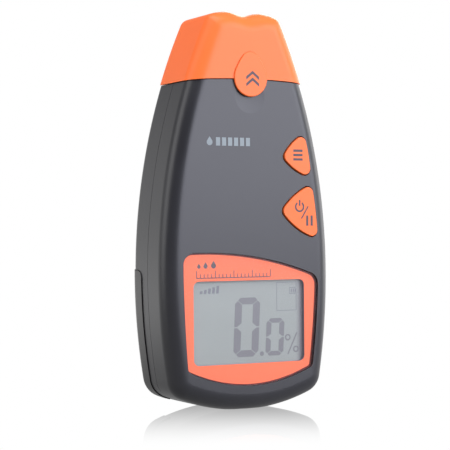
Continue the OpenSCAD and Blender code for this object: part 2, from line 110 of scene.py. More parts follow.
HEAD_BORE_Y = (7.2, BACK + 2)

# cap
CAP_GROW = FRONT - low("cap_shell").y
CAP_WALL = 2.0
CAP_GAP = 0.3
CAP_TOP = high("cap_shell").z
CAP_EDGE_Z = 107.7
CAP_EDGE_R = 260.0
CAP_CORNER_R = 3.2
CAP_SOFT = 0.22
HUMP_X = 6.0
VALLEY = 1.1
CROWN_FALL = 0.03
TAB_GAP = 0.12
TAB_ROUND = 0.32
NECK_INSET = CAP_WALL - CAP_GROW + CAP_GAP

# battery door, the lip behind its top edge, its sill and its hooks
DOOR_TOP = 46.0
DOOR_Y = 4.8
DOOR_GAP = 0.15
DOOR_TOP_GAP = 0.15
DOOR_TOP_FALL = 0.35
DOOR_PROUD = 0.3
DOOR_CORNER = 3.0
DOOR_WALL = 1.2
DOOR_SOFT = 0.2
DECK = 1.6
LIP_INSET = 1.45
LIP_WALL = 0.9
LIP_DROP = 1.6
SILL = 5.0
SILL_HALF = 21.0
HOOK_X = 8.0
HOOK_W = 5.0
HOOK_Y, HOOK_Z = (9.8, 10.6), (4.5, 8.2)
ROOT_Y, ROOT_Z = (10.5, 12.0), (6.6, 8.2)

# battery tray
TRAY_WALL = 1.1
TRAY_X = 26.3
BAY_GAP = 0.3
BAY_X = 25.5
LEAD_SLOT_X, LEAD_SLOT_Y = (19.6, 24.4), (-1.0, 3.0)

# buttons
KEY_GAP = 0.4
KEY_ROUND = 0.25
KEY_FLANGE = 1.0
FLANGE_THICK = 0.6
PROUD_MARK = 0.015

# lens, its print and the window over the display
LENS_GAP = 0.15
# painted shadow: a dark ring along the print's edge, where the recess wall shades it; its inner outline
# is shifted so it lies wider at the top and right
SHADOW_RING = (0.17, 0.55)
SHADOW_RING_SHIFT = (-0.22, -0.05)
WINDOW = (0.0, 28.6, 41.2, 27.2)
WINDOW_ROUND = 2.0
FRAME_W = 0.8
PRINT = 0.02

# spans of cutting tools: right across the case, and through its front wall
ACROSS = (-40.0, 40.0)
THROUGH_FRONT = (FRONT - 3, FRONT + WALL + 1)

SIDE_C = (HALF_WIDTH - SIDE_R, BELLY_Z)
BOTTOM_C = (0.0, BOTTOM_R - FOOT_SINK)
ARCH_C = (0.0, CAP_EDGE_Z - CAP_EDGE_R)

# corner circles (x, z, r) of each rounded outline, and the swell of the side after each, in degrees
MODE = ([(20.4, 78.9, 2.0), (18.9, 87.3, 2.0), (14.6, 82.8, 2.0)], (4, 12, 12))
POWER = ([(23.0, 58.4, 1.95), (21.5, 70.8, 1.95), (14.3, 64.8, 2.2)], (3, 12, 14))
LENS = ([(21.4, 14.4, 1.8), (21.3, 40.5, 4.1), (-20.7, 47.5, 3.9), (-21.2, 14.6, 2.0)], (3, 11, 2, 24))
TAB = ([(0.0, 108.2, 6.1), (0.0, 113.3, 3.5)], (8, 8))

# fineness of the outlines
FILLET = 16
ARC_STEP = 6.0
CHORD = 0.8
CROWN_STEPS = 30


# ---------------------------------------------------------------- outlines in the X-Z plane
def arc(c, r, a0, a1, n):
    """n + 1 points from angle a0 to a1, in radians."""
    return [(c[0] + r * math.cos(a), c[1] + r * math.sin(a))
            for a in (a0 + (a1 - a0) * i / n for i in range(n + 1))]


def meet(c, r, k, s):
    """The right-hand point where two circles cross."""
    dx, dz = k[0] - c[0], k[1] - c[1]
    gap = math.hypot(dx, dz)
    along = (r * r - s * s + gap * gap) / (2 * gap)
    across = math.sqrt(r * r - along * along)
    spots = [(c[0] + (along * dx + q * across * dz) / gap, c[1] + (along * dz - q * across * dx) / gap)
             for q in (1, -1)]
    return max(spots, key=lambda p: p[0])


CORNER_C = meet(SIDE_C, SIDE_R - CORNER_R, BOTTOM_C, BOTTOM_R - CORNER_R)
if CORNER_C[1] > BELLY_Z:
    raise ValueError("the corner circle has to lie at the bottom of the case")


def angle(c, p):
    return math.atan2(p[1] - c[1], p[0] - c[0])


SIDE_LOW = angle(SIDE_C, CORNER_C)
BOTTOM_END = angle(BOTTOM_C, CORNER_C)


def mirrored(right):
    """Closes a right half that starts and ends on the middle line, or near it."""
    back = [(-x, z) for x, z in reversed(right)]
    if abs(right[-1][0]) < 1e-6:
        back = back[1:]
    if abs(right[0][0]) < 1e-6:
        back = back[:-1]
    return right + back


def case_outline(d, top=None):
    """The case drawn in by d; its top is flat at height top, or follows the cap's arched edge."""
    side_r = SIDE_R - d
    if top is None:
        turn = angle(SIDE_C, meet(SIDE_C, side_r, ARCH_C, CAP_EDGE_R))
    else:
        turn = math.asin((top - SIDE_C[1]) / side_r)
    right = arc(BOTTOM_C, BOTTOM_R - d, -math.pi / 2, BOTTOM_END, 26)
    right += arc(CORNER_C, CORNER_R - d, BOTTOM_END, SIDE_LOW, 14)[1:]
    right += arc(SIDE_C, side_r, SIDE_LOW, turn, 44)[1:]
    if top is None:
        right += arc(ARCH_C, CAP_EDGE_R, angle(ARCH_C, right[-1]), math.pi / 2, 24)[1:]
    return mirrored([(x, max(z, 0.0)) for x, z in right])


def band_outline(d, z0, z1):
    """The stretch of the case between two heights, drawn in by d."""
    side_r = SIDE_R - d
    right = arc(SIDE_C, side_r, *(math.asin((z - SIDE_C[1]) / side_r) for z in (z0, z1)), 8)
    return right + [(-x, z) for x, z in reversed(right)]


def crown(x):
    """Height of the cap's top over x: a notch in the middle between two humps."""
    base = CAP_TOP - CAP_GROW
    if x < HUMP_X:
        return base - VALLEY * (1 + math.cos(math.pi * x / HUMP_X)) / 2
    return base - CROWN_FALL * (x - HUMP_X) ** 2


def crown_inset(x, d):
    """The crown's point over x, moved inwards by d, and the direction that it faces."""
    if x < HUMP_X:
        slope = VALLEY * math.pi / HUMP_X / 2 * math.sin(math.pi * x / HUMP_X)
    else:
        slope = -2 * CROWN_FALL * (x - HUMP_X)
    out = Vector((-slope, 1)).normalized()
    return (x - d * out.x, crown(x) - d * out.y), math.atan2(out.y, out.x)


def cap_outline(d, z0):
    """The cap drawn in by d, from a flat bottom at height z0 up over the crown."""
    r = CAP_CORNER_R
    lo, hi = HUMP_X, HALF_WIDTH / 2
    for _ in range(40):  # halves the range until the corner circle touches the side
        x = (lo + hi) / 2
        p = crown_inset(x, d + r)[0]
        if math.hypot(p[0] - SIDE_C[0], p[1] - SIDE_C[1]) > SIDE_R - d - r:
            hi = x
        else:
            lo = x
    c, facing = crown_inset(x, d + r)
    turn = angle(SIDE_C, c)
    right = arc(SIDE_C, SIDE_R - d, math.asin((z0 - SIDE_C[1]) / (SIDE_R - d)), turn, 14)
    right += arc(c, r, turn, facing, 14)[1:]
    right += [crown_inset(x * i / CROWN_STEPS, d)[0] for i in reversed(range(CROWN_STEPS))]
    return right + [(-px, pz) for px, pz in reversed(right[:-1])]


def touch_angle(b, c):
    """Direction in which a straight line touches circle b on its way to circle c."""
    gap = math.hypot(c[0] - b[0], c[1] - b[1])
    return math.atan2(c[1] - b[1], c[0] - b[0]) - math.acos((b[2] - c[2]) / gap)


def soft_outline(shape, d):
    """Rounded outline round corner circles, drawn in by d; each side swells out by its angle."""
    corners = [(x, z, r - d) for x, z, r in shape[0]]
    swell = [math.radians(s) for s in shape[1]]
    n = len(corners)
    points = []
    for i, b in enumerate(corners):
        a, c = corners[i - 1], corners[(i + 1) % n]
        start = touch_angle(a, b) + swell[i - 1]
        sweep = (touch_angle(b, c) - swell[i] - start) % (2 * math.pi)
        middle = start + sweep + swell[i]
        near = Vector((b[0] + b[2] * math.cos(start + sweep), b[1] + b[2] * math.sin(start + sweep)))
        end = middle + swell[i]
        far = Vector((c[0] + c[2] * math.cos(end), c[1] + c[2] * math.sin(end)))
        rise = (far - near).length * math.tan(swell[i]) * Vector((math.cos(middle), math.sin(middle)))
        points += arc(b[:2], b[2], start, start + sweep, math.ceil(math.degrees(sweep) / ARC_STEP))
        steps = max(6, math.ceil(math.hypot(c[0] - b[0], c[1] - b[1]) / CHORD))
        points += [tuple(near + t * (far - near) + t * (1 - t) * rise)
                   for t in (k / steps for k in range(1, steps))]
    return points


# ---------------------------------------------------------------- meshes
def new_piece(name, verts, faces):
    """A mesh object from points in millimetres, with its faces turned outwards."""
    mesh = bpy.data.meshes.new(name)
    mesh.from_pydata([Vector(v) * MM for v in verts], [], faces)
    mesh.validate()
    bm = bmesh.new()
    bm.from_mesh(mesh)
    bmesh.ops.remove_doubles(bm, verts=bm.verts, dist=1e-7)
    bmesh.ops.recalc_face_normals(bm, faces=bm.faces)
    bm.to_mesh(mesh)
    bm.free()
    piece = bpy.data.objects.new(name, mesh)
    scene.collection.objects.link(piece)
    return piece


def loft(name, outlines, depths):
    """A closed solid through outlines of equal length, each at its own depth along Y."""
    n, m = len(outlines[0]), len(outlines)
    verts = [(x, y, z) for outline, y in zip(outlines, depths) for x, z in outline]
    faces = [(j * n + i, j * n + (i + 1) % n, (j + 1) * n + (i + 1) % n, (j + 1) * n + i)
             for j in range(m - 1) for i in range(n)]
    faces += [tuple(range(n)), tuple((m - 1) * n + i for i in range(n))]
    return new_piece(name, verts, faces)


def slab(name, outline, y0, y1):
    return loft(name, [outline, outline], [y0, y1])


def block(name, x, y, z):
    return slab(name, [(x[0], z[0]), (x[1], z[0]), (x[1], z[1]), (x[0], z[1])], *y)


def rod_y(name, p, y0, y1, r, sides=40):
    return slab(name, arc(p, r, 0, 2 * math.pi, sides)[:-1], y0, y1)


def joined(first, *others):
    """One object from several that don't overlap."""
    bm = bmesh.new()
    for o in (first, *others):
        bm.from_mesh(o.data)
    bm.to_mesh(first.data)
    bm.free()
    for o in others:
        bpy.data.objects.remove(o)
    return first


def settle(piece):
    """Applies the modifiers."""
    depsgraph = bpy.context.evaluated_depsgraph_get()
    mesh = bpy.data.meshes.new_from_object(piece.evaluated_get(depsgraph))
    piece.modifiers.clear()
    piece.data = mesh
    return piece


def carve(piece, how, *tools):
    """Applies one boolean after another, and removes the tools."""
    for tool in tools:
        m = piece.modifiers.new("carve", "BOOLEAN")
        m.operation, m.solver, m.object = how, "EXACT", tool
        settle(piece)
        bpy.data.objects.remove(tool)
    return piece


def soften(piece, width, where=None, sharp=35, segments=3):
    """Rounds the sharp edges whose middle passes where(x, y, z), in millimetres."""
    bm = bmesh.new()
    bm.from_mesh(piece.data)
    bmesh.ops.remove_doubles(bm, verts=bm.verts, dist=2e-6)
    weight = bm.edges.layers.float.new("bevel_weight_edge")
    for e in bm.edges:
        if len(e.link_faces) == 2 and e.calc_face_angle(0) > math.radians(sharp):
            mid = (e.verts[0].co + e.verts[1].co) / 2 / MM
            if where is None or where(*mid):
                e[weight] = 1.0
    bm.to_mesh(piece.data)
    bm.free()
    m = piece.modifiers.new("soften", "BEVEL")
    m.limit_method, m.width, m.segments = "WEIGHT", width * MM, segments
    m.miter_outer = "MITER_ARC"
    return settle(piece)


def finish_piece(piece, body, material, slot, *nodes, smooth=30):
    """Smooth shading, a material, and what the piece rides on and stands for."""
    for p in piece.data.polygons:
        p.use_smooth = True
    piece.data.set_sharp_from_angle(angle=math.radians(smooth))
    m = piece.modifiers.new("normals", "WEIGHTED_NORMAL")
    m.keep_sharp = True
    settle(piece)
    piece.data.materials.clear()
    piece.data.materials.append(material)
    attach(piece, body)
    if nodes:
        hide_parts(*nodes)
    return piece


def front_rings(d, steps):
    """Insets and depths round the front edge of the case, drawn in by d."""
    f = FRONT_ROUND - d
    return [(d + f * (1 - math.sin(t)), FRONT + d + f * (1 - math.cos(t)))
            for t in (math.pi / 2 * i / steps for i in range(steps + 1))]


def back_rings(d, steps):
    """Insets and depths round the back edge of the case, drawn in by d."""
    b = max(BACK_ROUND - d, BACK_ROUND_MIN)
    return [(d + b * (1 - math.sin(t)), BACK - d - b * (1 - math.cos(t)))
            for t in (math.pi / 2 * (1 - i / steps) for i in range(steps + 1))]


def form(name, rings, outline):
    return loft(name, [outline(d) for d, _ in rings], [y for _, y in rings])


def arched_below(name, lift):
    """Everything below the arched lower edge of the cap."""
    top = arc(ARCH_C, CAP_EDGE_R, math.radians(98), math.radians(82), 120)
    outline = [(x, z + lift) for x, z in reversed(top)] + [(top[0][0], 60), (top[-1][0], 60)]
    return slab(name, outline, -40, 40)


# ---------------------------------------------------------------- materials
def node_material(name):
    material = bpy.data.materials.new(name)
    material.use_nodes = True
    return material, material.node_tree.nodes, material.node_tree.links


def principled(nodes):
    return next(n for n in nodes if n.type == "BSDF_PRINCIPLED")


def ramp(nodes, links, value, span, ends):
    """Smooth change from one level to another as value runs over span."""
    level = nodes.new("ShaderNodeMapRange")
    level.interpolation_type = "SMOOTHSTEP"
    level.inputs["From Min"].default_value, level.inputs["From Max"].default_value = span
    level.inputs["To Min"].default_value, level.inputs["To Max"].default_value = ends
    links.new(value, level.inputs["Value"])
    return level.outputs["Result"]


def plastic(name, color, roughness, specular=0.5, grain=2600, depth=0.02, speckle=0.06):
    """Moulded plastic: a fine spark-eroded grain, a little colour and gloss variation."""
    material, nodes, links = node_material(name)
    shader = principled(nodes)
    shader.inputs["Specular IOR Level"].default_value = specular
    place = nodes.new("ShaderNodeTexCoord")
    fine = nodes.new("ShaderNodeTexNoise")
    fine.inputs["Scale"].default_value = grain
    fine.inputs["Detail"].default_value = 3
    broad = nodes.new("ShaderNodeTexNoise")
    broad.inputs["Scale"].default_value = 55
    broad.inputs["Detail"].default_value = 4
    for n in (fine, broad):
        links.new(place.outputs["Object"], n.inputs["Vector"])
    tint = nodes.new("ShaderNodeValToRGB")
    tint.color_ramp.elements[0].position, tint.color_ramp.elements[1].position = 0.3, 0.7
    tint.color_ramp.elements[0].color = (*(c * (1 - speckle) for c in color), 1)
    tint.color_ramp.elements[1].color = (*(min(c * (1 + speckle), 1) for c in color), 1)
    links.new(broad.outputs["Fac"], tint.inputs["Fac"])
    links.new(tint.outputs["Color"], shader.inputs["Base Color"])
    gloss = nodes.new("ShaderNodeMapRange")
    gloss.inputs["To Min"].default_value = roughness - 0.03
    gloss.inputs["To Max"].default_value = roughness + 0.03
    links.new(broad.outputs["Fac"], gloss.inputs["Value"])
    links.new(gloss.outputs["Result"], shader.inputs["Roughness"])
    bump = nodes.new("ShaderNodeBump")
    bump.inputs["Strength"].default_value = 0.35
    bump.inputs["Distance"].default_value = depth * MM
    links.new(fine.outputs["Fac"], bump.inputs["Height"])
    links.new(bump.outputs["Normal"], shader.inputs["Normal"])
    return material


def shaded(material, color, span):
    """Paints shade on a plastic: fades it to another colour as X runs over span, in metres."""
    nodes, links = material.node_tree.nodes, material.node_tree.links
    place = nodes.new("ShaderNodeTexCoord")
    split = nodes.new("ShaderNodeSeparateXYZ")
    links.new(place.outputs["Object"], split.inputs[0])
    fade = nodes.new("ShaderNodeMix")
    fade.data_type = "RGBA"
    links.new(ramp(nodes, links, split.outputs["X"], span, (0.0, 1.0)), fade.inputs["Factor"])
    base = principled(nodes).inputs["Base Color"]
    links.new(base.links[0].from_socket, fade.inputs["A"])
    fade.inputs["B"].default_value = (*color, 1)
    links.new(fade.outputs["Result"], base)


def metal(name, color, roughness, turned=False):
    """Plated metal, or turned metal with fine lines round its axis."""
    material, nodes, links = node_material(name)
    shader = principled(nodes)
    shader.inputs["Metallic"].default_value = 1.0
    place = nodes.new("ShaderNodeTexCoord")
    scale = nodes.new("ShaderNodeMapping")
    scale.inputs["Scale"].default_value = (40, 40, 9000 if turned else 400)
    lines = nodes.new("ShaderNodeTexNoise")
    lines.inputs["Scale"].default_value = 1.0
    lines.inputs["Detail"].default_value = 3
    links.new(place.outputs["Object"], scale.inputs["Vector"])
    links.new(scale.outputs["Vector"], lines.inputs["Vector"])
    tint = nodes.new("ShaderNodeValToRGB")
    tint.color_ramp.elements[0].color = (*(c * 0.86 for c in color), 1)
    tint.color_ramp.elements[1].color = (*color, 1)
    links.new(lines.outputs["Fac"], tint.inputs["Fac"])
    links.new(tint.outputs["Color"], shader.inputs["Base Color"])
    gloss = nodes.new("ShaderNodeMapRange")
    gloss.inputs["To Min"].default_value = roughness * 0.7
    gloss.inputs["To Max"].default_value = roughness * 1.3
    links.new(lines.outputs["Fac"], gloss.inputs["Value"])
    links.new(gloss.outputs["Result"], shader.inputs["Roughness"])
    return material


def two_tone(name, body, end, x):
    """Lacquered sheet metal whose colour changes at one place along X, in metres."""
    material, nodes, links = node_material(name)
    shader = principled(nodes)
    shader.inputs["Metallic"].default_value = 0.7
    place = nodes.new("ShaderNodeTexCoord")
    split = nodes.new("ShaderNodeSeparateXYZ")
    links.new(place.outputs["Object"], split.inputs[0])
    past = nodes.new("ShaderNodeMath")
    past.operation = "GREATER_THAN"
    past.inputs[1].default_value = x
    links.new(split.outputs["X"], past.inputs[0])
    tint = nodes.new("ShaderNodeMix")
    tint.data_type = "RGBA"
    tint.inputs["A"].default_value, tint.inputs["B"].default_value = (*body, 1), (*end, 1)
    links.new(past.outputs[0], tint.inputs["Factor"])
    links.new(tint.outputs["Result"], shader.inputs["Base Color"])
    scuffs = nodes.new("ShaderNodeTexNoise")
    scuffs.inputs["Scale"].default_value = 160
    links.new(place.outputs["Object"], scuffs.inputs["Vector"])
    gloss = nodes.new("ShaderNodeMapRange")
    gloss.inputs["To Min"].default_value, gloss.inputs["To Max"].default_value = 0.22, 0.4
    links.new(scuffs.outputs["Fac"], gloss.inputs["Value"])
    links.new(gloss.outputs["Result"], shader.inputs["Roughness"])
    return material


def clear_plastic(name):
    """Clear lens: mostly see-through, with a soft surface reflection."""
    material, nodes, links = node_material(name)
    shader = principled(nodes)
    nodes.remove(shader)
    out = next(n for n in nodes if n.type == "OUTPUT_MATERIAL")
    through = nodes.new("ShaderNodeBsdfTransparent")
    gloss = nodes.new("ShaderNodeBsdfGlossy")
    gloss.inputs["Roughness"].default_value = 0.3
    facing = nodes.new("ShaderNodeLayerWeight")
    facing.inputs["Blend"].default_value = 0.5
    steep = nodes.new("ShaderNodeMath")
    steep.operation = "POWER"
    steep.inputs[1].default_value = 5.0
    share = nodes.new("ShaderNodeMapRange")
    share.inputs["To Min"].default_value = 0.012
    share.inputs["To Max"].default_value = 0.9
    mix = nodes.new("ShaderNodeMixShader")
    links.new(facing.outputs["Facing"], steep.inputs[0])
    links.new(steep.outputs[0], share.inputs["Value"])
    links.new(share.outputs["Result"], mix.inputs[0])
    links.new(through.outputs[0], mix.inputs[1])
    links.new(gloss.outputs[0], mix.inputs[2])
    links.new(mix.outputs[0], out.inputs["Surface"])
    return material


CHARCOAL = plastic("charcoal_plastic", (0.022, 0.022, 0.026), 0.33, depth=0.012, speckle=0.08)
DOOR_GREY = plastic("door_plastic", (0.026, 0.025, 0.026), 0.36, depth=0.012, speckle=0.08)
ORANGE = plastic("orange_plastic", (0.92, 0.168, 0.04), 0.34, specular=0.25, depth=0.008, speckle=0.02)
LENS_INK = plastic("lens_ink", (0.92, 0.175, 0.078), 0.5, specular=0.2, depth=0.004, speckle=0.015)
LCD = plastic("lcd", (0.282, 0.303, 0.285), 0.4, specular=0.3, grain=5000, depth=0.002, speckle=0.02)
# painted shade: the display darkens towards its right edge, where the print round the window shades it
shaded(LCD, (0.17, 0.155, 0.175), (0.0178, 0.0204))
SEGMENT = plastic("lcd_segment", (0.19, 0.188, 0.2), 0.4, specular=0.2, depth=0.002, speckle=0.03)
FAINT = plastic("lcd_faint", (0.185, 0.19, 0.21), 0.4, specular=0.2, depth=0.002, speckle=0.03)
# painted shadow of the recess wall on the lens print
PAINTED_RECESS_SHADOW = plastic("painted_recess_shadow", (0.13, 0.016, 0.012), 0.5, specular=0.2, depth=0.004, speckle=0.1)
# painted shade: the tone of the shadow round the display window
SHADE = plastic("lcd_shade", (0.20, 0.185, 0.225), 0.5, specular=0.2, depth=0.004, speckle=0.03)
INK = plastic("button_ink", (0.085, 0.07, 0.08), 0.5, specular=0.3, depth=0.004, speckle=0.1)
PALE_INK = plastic("case_ink", (0.235, 0.27, 0.285), 0.5, specular=0.3, depth=0.004, speckle=0.06)
CLEAR = clear_plastic("clear_lens")
WHITE = plastic("white_plastic", (0.75, 0.75, 0.72), 0.45)
ZEBRA = plastic("zebra_rubber", (0.7, 0.35, 0.4), 0.7)
BOARD = plastic("board_laminate", (0.02, 0.14, 0.05), 0.3, speckle=0.25)
BLACK = plastic("black_plastic", (0.02, 0.02, 0.022), 0.45)
CHIP = plastic("chip_plastic", (0.015, 0.015, 0.016), 0.5)
SLEEVE = plastic("capacitor_sleeve", (0.02, 0.04, 0.18), 0.25)
TRIMMER = plastic("trimmer_plastic", (0.02, 0.12, 0.45), 0.3)
STEEL = metal("pin_steel", (0.62, 0.62, 0.64), 0.22, turned=True)
PLATED = metal("plated_metal", (0.7, 0.7, 0.72), 0.18)
BRASS = metal("tinned_brass", (0.7, 0.62, 0.4), 0.3)
WIRE = metal("tinned_wire", (0.7, 0.7, 0.7), 0.25)
JACKET = two_tone("battery_jacket", (0.03, 0.03, 0.035), (0.55, 0.27, 0.10), 0.008)
RED = plastic("red_insulation", (0.5, 0.02, 0.02), 0.4)
BLACK_WIRE = plastic("black_insulation", (0.02, 0.02, 0.02), 0.45)


# ---------------------------------------------------------------- case
def hollow(name, rings, deep):
    """One half of the case with its neck, hollowed out. deep is where the cavities run on to."""
    mouth_inset = NECK_INSET + NECK_WALL
    half = form(name, rings(0), lambda d: case_outline(d))
    neck = form("neck", rings(NECK_INSET), lambda d: band_outline(d, NECK_BASE, NECK_TOP))
    inner = form("inner", rings(WALL, deep), lambda d: case_outline(d, CAVITY_TOP))
    mouth = form("mouth", rings(mouth_inset, deep), lambda d: band_outline(d, *MOUTH_Z))
    carve(half, "UNION", neck)
    return carve(half, "DIFFERENCE", inner, mouth)


def front_half(d, end=None):
    """Rings from the front face back to the seam, or to the depth end."""
    return front_rings(d, FILLET) + [(d, SEAM[0] if end is None else end)]


def back_half(d, end=None):
    """Rings from the seam, or from the depth end, back to the back face."""
    return [(d, SEAM[1] if end is None else end)] + back_rings(d, FILLET)


def dish(name, p, r, depth):
    """A shallow cap of a sphere that sinks into the front face."""
    reach = math.sqrt(r * r - (r - depth - 1) ** 2)
    wide = [reach * math.cos(math.pi / 2 * i / 24) for i in range(24)]
    outlines = [arc(p, q, 0, 2 * math.pi, 72)[:-1] for q in wide]
    return loft(name, outlines, [FRONT - r + depth + math.sqrt(r * r - q * q) for q in wide])


front = hollow("front_case", front_half, 3.0)
posts = [rod_y("post", p, *POST_Y, POST_R) for p in CASE_SCREWS]
posts += [rod_y("post", p, *BOARD_POST_Y, BOARD_POST_R) for p in BOARD_SCREWS]
posts += [block("rib", (x - 1, x + 1), FRONT_RIB_Y, RIB_Z) for x in (-FRONT_RIB_X, FRONT_RIB_X)]
carve(front, "UNION", joined(*posts))
steps = [(0.0, THROUGH_FRONT[0]), (0.0, PANEL_Y), (LENS_LEDGE, PANEL_Y), (LENS_LEDGE, THROUGH_FRONT[1])]
cuts = [loft("recess", [soft_outline(LENS, d) for d, _ in steps], [y for _, y in steps])]
cuts += [slab("hole", soft_outline(shape, -KEY_GAP), *THROUGH_FRONT) for shape in (MODE, POWER)]
cuts += [rod_y("bore", p, *POST_BORE_Y, POST_BORE_R) for p in CASE_SCREWS]
cuts += [rod_y("bore", p, *BOARD_BORE_Y, BOARD_BORE_R) for p in BOARD_SCREWS]
carve(front, "DIFFERENCE", joined(*cuts))
carve(front, "DIFFERENCE", dish("scoop", *SCOOP))
soften(front, RIM_SOFT, lambda x, y, z: y < FRONT + 0.35 and abs(x) < RIM_ZONE[0] and z < RIM_ZONE[1])
soften(front, SEAM_SOFT,
       lambda x, y, z: y > SEAM[0] - 0.02 if z < NECK_EDGE_Z else y < NECK_EDGE_Y)
finish_piece(front, "housing", CHARCOAL, "charcoal_plastic", "front_shell")


def door_space(name, gap, top_gap):
    """The space that the battery door takes up, grown by gap, and by top_gap at its top edge."""
    r = DOOR_CORNER + gap
    y = DOOR_Y - gap
    z_back = DOOR_TOP + top_gap
    z = z_back - DOOR_TOP_FALL
    base, far = -5.0, 30.0
    side = [(y, base), (far, base), (far, z_back), (BACK, z_back)]
    side += arc((y + r, z - r), r, math.pi / 2, math.pi, 16)
    verts = [(x, py, pz) for x in ACROSS for py, pz in side]
    n = len(side)
    faces = [tuple(range(n)), tuple(range(n, 2 * n))]
    faces += [(i, (i + 1) % n, n + (i + 1) % n, n + i) for i in range(n)]
    space = new_piece(name, verts, faces)
    r = BOTTOM_R - SILL + gap
    half = SILL_HALF - gap
    reach = math.asin(half / r)
    strip = arc(BOTTOM_C, r, reach - math.pi / 2, -reach - math.pi / 2, 60)
    strip += [(-half, base - 3), (half, base - 3)]
    return carve(space, "DIFFERENCE", slab("sill", strip, -22, 42))


rear = hollow("rear_case", back_half, -3.0)
carve(rear, "DIFFERENCE", door_space("pocket", DOOR_GAP, DOOR_TOP_GAP))
battery_low, battery_high = low("battery"), high("battery")


def filled(name, d, top):
    """The whole case as one solid, drawn in by d and cut off flat at a height."""
    return form(name, front_half(d, 0.0) + back_half(d, 0.0)[1:], lambda q: case_outline(q, top))


def inside_case(piece, d, top):
    """Cuts a block to the inside of the case."""
    return carve(piece, "INTERSECT", filled("limit", d, top))


deck = block("deck", ACROSS, (DOOR_Y - DECK, DOOR_Y - DOOR_GAP), (0, DOOR_TOP + 2))
bulkhead = block("bulkhead", ACROSS, (DOOR_Y - DECK, 12), (DOOR_TOP + DOOR_TOP_GAP, DOOR_TOP + 2))
inside_case(carve(deck, "UNION", bulkhead), WALL - 0.6, DOOR_TOP + 3)
tray = block("tray", (battery_low.x - TRAY_WALL, TRAY_X), (battery_low.y - 1, DOOR_Y - 0.5),
             (battery_low.z - TRAY_WALL, battery_high.z + TRAY_WALL))
inside_case(tray, WALL + 0.2, DOOR_TOP + 1.7)
lip = filled("lip", LIP_INSET, DOOR_TOP + 1)
carve(lip, "DIFFERENCE", filled("core", LIP_INSET + LIP_WALL, DOOR_TOP + 3))
carve(lip, "INTERSECT", block("reach", ACROSS, (DOOR_Y - DOOR_GAP - 0.01, 20),
                              (DOOR_TOP - LIP_DROP, DOOR_TOP + 2)))
sleeves = [rod_y("sleeve", p, *SLEEVE_Y, SLEEVE_R) for p in CASE_SCREWS]
sleeves.append(block("rib", REAR_RIB_X, REAR_RIB_Y, RIB_Z))
carve(rear, "UNION", deck, tray, lip, joined(*sleeves))
carve(rear, "DIFFERENCE", block("bay", (battery_low.x - BAY_GAP, BAY_X), (battery_low.y - 0.2, 30),
                                (battery_low.z - BAY_GAP, battery_high.z + BAY_GAP)))
cuts = [rod_y("seat", p, *HEAD_BORE_Y, HEAD_BORE_R) for p in CASE_SCREWS]
cuts.append(block("slot", LEAD_SLOT_X, LEAD_SLOT_Y, (battery_high.z - 1, battery_high.z + 3)))
carve(rear, "DIFFERENCE", joined(*cuts))
carve(rear, "DIFFERENCE", joined(*(rod_y("bore", p, *SLEEVE_BORE_Y, SLEEVE_BORE_R) for p in CASE_SCREWS)))
soften(rear, SEAM_SOFT, lambda x, y, z: y < SEAM[1] + 0.02 and z < NECK_EDGE_Z)
finish_piece(rear, "housing", CHARCOAL, "charcoal_plastic", "rear_shell")

# ---------------------------------------------------------------- battery door
door = filled("battery_cover", -DOOR_PROUD, DOOR_TOP + 5)
carve(door, "DIFFERENCE", filled("inner", DOOR_WALL, DOOR_TOP + 7))
carve(door, "INTERSECT", door_space("space", -DOOR_GAP, 0.0))
soften(door, DOOR_SOFT, lambda x, y, z: True, sharp=50)
hooks = []
for middle in (-HOOK_X, HOOK_X):
    x = (middle - HOOK_W / 2, middle + HOOK_W / 2)
    hooks.append(carve(block("hook", x, HOOK_Y, HOOK_Z), "UNION", block("hook_root", x, ROOT_Y, ROOT_Z)))
carve(door, "UNION", joined(*hooks))
finish_piece(door, "door", DOOR_GREY, "door_plastic", "battery_door")


# ---------------------------------------------------------------- cap and its tab
def whole(d):
    """Rings from the front face right through to the back face."""
    return front_rings(d, FILLET) + back_rings(d, FILLET)


cap = form("cap", whole(-CAP_GROW), lambda d: cap_outline(d, CAP_EDGE_Z - 3))
carve(cap, "DIFFERENCE",
      form("inner", whole(CAP_WALL - CAP_GROW), lambda d: cap_outline(d, CAP_EDGE_Z - 5)),
      arched_below("below", CAP_GAP),
      slab("seat", soft_outline(TAB, -TAB_GAP), FRONT - 3, high("thumb_tab").y + 0.1))
soften(cap, CAP_SOFT, lambda x, y, z: z < 109 or y < FRONT - 0.3)
finish_piece(cap, "cap", ORANGE, "orange_plastic", "cap_shell")


def pillow(name, shape, y_top, y_base, r):
    """A slab with a rounded front edge."""
    rings = [(r * (1 - math.sin(t)), y_top + r * (1 - math.cos(t)))
             for t in (math.pi / 2 * i / 6 for i in range(7))]
    rings = [(r + 0.02, y_top)] + rings + [(0.0, y_base)]
    return loft(name, [soft_outline(shape, d) for d, _ in rings], [y for _, y in rings])


tab = pillow("tab", TAB, low("thumb_tab").y + PROUD_MARK, high("thumb_tab").y, TAB_ROUND)
finish_piece(tab, "cap", ORANGE, "orange_plastic", "thumb_tab")

# ---------------------------------------------------------------- buttons
for name, shape, body in (("mode", MODE, "mode_key"), ("power", POWER, "power_key")):
    node = name + "_button"
    back = high(node).y
    key = pillow(name + "_cap", shape, low(node).y + PROUD_MARK, back - FLANGE_THICK + 0.05, KEY_ROUND)
    flange = slab("flange", soft_outline(shape, -KEY_FLANGE), back - FLANGE_THICK, back)
    carve(flange, "INTERSECT", rod_y("reach", SIDE_C, FRONT, 0, SIDE_R - FRONT_ROUND + 0.4, 720))
    carve(key, "UNION", flange)
    finish_piece(key, body, ORANGE, "orange_plastic", node)

